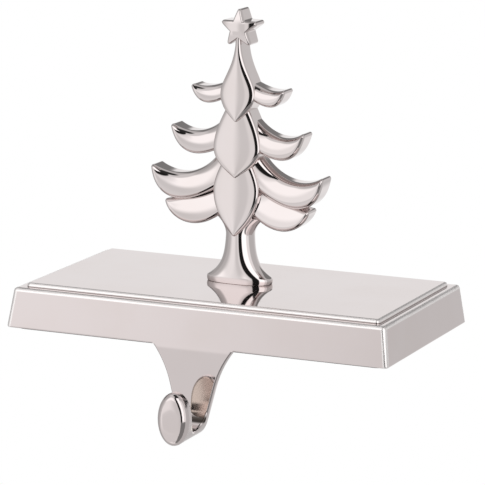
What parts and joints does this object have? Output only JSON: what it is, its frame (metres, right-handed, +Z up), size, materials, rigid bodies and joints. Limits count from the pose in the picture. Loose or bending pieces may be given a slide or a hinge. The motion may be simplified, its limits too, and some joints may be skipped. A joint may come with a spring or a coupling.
{
  "type": "mantel stocking holder",
  "caption": "Heavy plated mantel weight with a stepped rectangular base, a hook that hangs below its front edge, and a sculpted tree with a star standing on top.",
  "frame": {"origin": "middle of the sheet's underside, the face that lies on the mantel", "axes": "+Z up; the hook hangs towards -Y, in front of the mantel; +X to the right along the base's long side, seen from the front"},
  "size_m": [0.1518, 0.1047, 0.1532],
  "materials": {
    "plated_base": "polished nickel plating on a zinc casting",
    "plated_tree": "polished nickel plating on a zinc casting",
    "screw_steel": "zinc-plated steel",
    "pad_rubber": "matt non-slip foam rubber sheet"
  },
  "bodies": {
    "root": {"base_casting": "plated_base", "tree_casting": "plated_tree", "tree_screw": "screw_steel", "non_slip_pad": "pad_rubber"}
  },
  "joints": []
}
